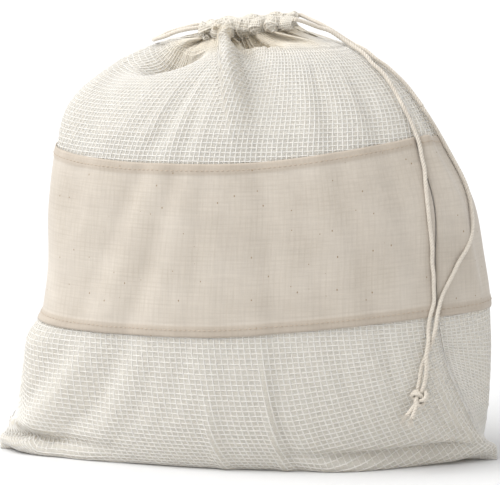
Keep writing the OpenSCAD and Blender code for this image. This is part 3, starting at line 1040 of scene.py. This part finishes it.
def overhand_knot(name, material):
    """Both cord ends, side by side in one overhand knot."""
    t = np.linspace(0, 2 * np.pi, 90, endpoint=False)
    core = np.stack([np.sin(t) + 2 * np.sin(2 * t), -np.sin(3 * t) * 1.1,
                     np.cos(t) - 2 * np.cos(2 * t)], 1)
    middle = KNOT * MM
    core = core * KNOT_HALF + middle
    core = even_path(np.concatenate([core, core[:1]]), 0.5 * MM)
    apart = 0.75 * MM * unit(np.cross(unit(np.gradient(core, axis=0)), core - middle))
    parts = [laid(core + side * apart, 0.92 * CORD_D) for side in (-1, 1)]
    return make_mesh(name, *joined(parts), material)


def cut_ends(name, material):
    """Two short cut ends with loose fibres."""
    parts = []
    for tip in CUT_TIPS:
        start = KNOT + [-1, -1.5, -2]
        way = np.array(tip, float)
        line = np.array([start + way * f for f in np.linspace(0, 0.75, 22)]) * MM
        parts.append(laid(line, CORD_D))
        for _ in range(FRAYED_FIBRES):
            lean = RANDOM.normal(0, 1.3, 3)
            root = start + way * 0.66 + RANDOM.normal(0, 0.35, 3)
            fibre = np.array([root + (way * 0.42 + lean) * f**1.2 for f in np.linspace(0, 1, 5)]) * MM
            thin = np.linspace(0.16, 0.07, 5) * MM
            parts.append(tubes(fibre[None], np.array([0, 1.0, 0]), thin, thin))
    return make_mesh(name, *joined(parts), material)


# ---- assembly ----

def stands_for(piece, slot, *nodes):
    """The nodes that the piece replaces are hidden. The slot is not used."""
    if nodes:
        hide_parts(*nodes)


def on_body(piece, body, slot, *nodes):
    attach(piece, body)
    stands_for(piece, slot, *nodes)


def build(surfaces, materials):
    for name, cloth in zip(("front", "back"), surfaces):
        build_panel(name, cloth, materials)
    for side in ("left", "right"):
        strip, overlock = side_seam(f"{side}_seam", surfaces, side, materials["mesh"],
                                    materials["thread"])
        on_body(strip, "bag", "cotton_mesh", f"{side}_side_seam")
        on_body(overlock, "bag", "sewing_thread")
    seam = bottom_seam("bottom_seam_allowance", surfaces, materials["mesh"])
    on_body(seam, "bag", "cotton_mesh", "bottom_seam")
    build_drawstring(surfaces, materials)


def build_panel(name, cloth, materials):
    """One panel's weave and fibres, its band with both rows of stitches, and its hem."""
    for (piece, follow), node in zip(mesh_panel(name, cloth, materials["mesh"]),
                                     ("mesh_panel", "gathers")):
        follow_lip(piece)
        stands_for(piece, "cotton_mesh", f"{name}_{node}")
    fibres, follow = fine_fibres(f"{name}_fibres", cloth, materials["fibres"])
    follow_lip(fibres)
    stands_for(fibres, "cotton_mesh")
    weave, fluff = hem_channel(f"{name}_hem", cloth, materials["mesh"], materials["fibres"])
    on_body(weave, f"{name}_lip", "cotton_mesh", f"{name}_hem_channel")
    on_body(fluff, f"{name}_lip", "cotton_mesh")
    calico_band = band(f"{name}_calico", cloth, materials["calico"])
    on_body(calico_band, "bag", "calico", f"{name}_band")
    thread = materials["thread"]
    inset = STITCH_INSET / cloth.length
    for edge, v in (("top", cloth.v_at(BAND_HIGH) - inset), ("bottom", cloth.v_at(BAND_LOW) + inset)):
        row = stitches(f"{name}_{edge}_stitches", cloth, v, 1.47 * MM, thread, band_lift)
        on_body(row, "bag", "sewing_thread", f"{name}_band_{edge}_stitching")
    row = stitches(f"{name}_hem_stitches", cloth, cloth.v_at(HEM_FOOT + 0.06), 1.1 * MM, thread)
    on_body(row, f"{name}_lip", "sewing_thread", f"{name}_hem_stitching")


def build_drawstring(surfaces, materials):
    cord = materials["cord"]
    knot = overhand_knot("overhand_knot", cord)
    ends = cut_ends("frayed_ends", cord)
    on_body(knot, "cord_end", "cotton_cord", "end_knot")
    on_body(ends, "cord_end", "cotton_cord", "cut_ends")
    for name, route in (("front", FRONT_TAIL), ("back", BACK_TAIL)):
        upper, upper_path = twisted_cord(f"{name}_cord_upper", route[:SHOULDER + 1], cord, surfaces)
        lower, lower_path = twisted_cord(f"{name}_cord_lower", route[SHOULDER:], cord, surfaces)
        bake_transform(upper)
        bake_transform(lower)
        stands_for(upper, "cotton_cord", f"{name}_tail_upper")
        stands_for(lower, "cotton_cord", f"{name}_tail_lower")
        y = route[0][1] / MM
        through = [(x, y, HEM_MIDDLE + HEM_TILT * x - sag) for x, sag in RUN_SAG]
        run, _ = twisted_cord(f"{name}_cord_run", MM * np.array(through), cord)
        on_body(run, f"{name}_lip", "cotton_cord", f"drawstring_{name}_run")
    # the bare span, in two halves
    middle = len(LEFT_SPAN) // 2
    for name, route in (("front", LEFT_SPAN[:middle + 1]), ("back", LEFT_SPAN[:middle - 1:-1])):
        span, span_path = twisted_cord(f"{name}_cord_span", route, cord)
        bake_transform(span)
        stands_for(span, "cotton_cord", "drawstring_left_span")


# ---- scene ----

AZIMUTH = math.radians(8)
ELEVATION = math.radians(10)
DISTANCE = 2.2
AIM = Vector((0, 0, 0.1271))
VIEW_WIDTH = 0.2989  # what the picture's width takes in at the bag's middle
SENSOR = 36  # millimetres
KEY_FROM = Vector((-0.60, -0.25, 0.76))  # way to the broad light
FLOOR_HALF = 20.0


def set_camera():
    """The photograph's view: a long lens, slightly to the bag's right and above it."""
    way = Vector((math.sin(AZIMUTH) * math.cos(ELEVATION),
                  -math.cos(AZIMUTH) * math.cos(ELEVATION), math.sin(ELEVATION)))
    camera = bpy.data.cameras.new("camera")
    camera.sensor_width = SENSOR
    camera.lens = SENSOR * DISTANCE / VIEW_WIDTH
    obj = placed("camera", camera)
    obj.location = AIM + DISTANCE * way
    obj.rotation_euler = way.to_track_quat("Z", "Y").to_euler()
    SCENE.camera = obj


def set_lights():
    """Even white light all round, with a broad soft one from the upper left."""
    world = bpy.data.worlds.new("studio")
    world.use_nodes = True
    background = world.node_tree.nodes["Background"].inputs
    background["Color"].default_value = (1, 1, 1, 1)
    background["Strength"].default_value = 0.95
    SCENE.world = world
    light = bpy.data.lights.new("key", "SUN")
    light.energy = 3.0
    light.angle = math.radians(50)
    placed("key", light).rotation_euler = KEY_FROM.to_track_quat("Z", "Y").to_euler()


def set_floor():
    n = Nodes("floor", (0.66, 0.66, 0.66), 0.9)
    corners = FLOOR_HALF * np.array([[-1, -1, 0], [1, -1, 0], [1, 1, 0], [-1, 1, 0]])
    floor = make_mesh("floor", corners, np.array([[0, 1, 2, 3]]), n.material)


def main():
    SCENE.view_settings.view_transform = "Standard"
    set_camera()
    set_lights()
    set_floor()
    build(build_surfaces(), make_materials())


main()
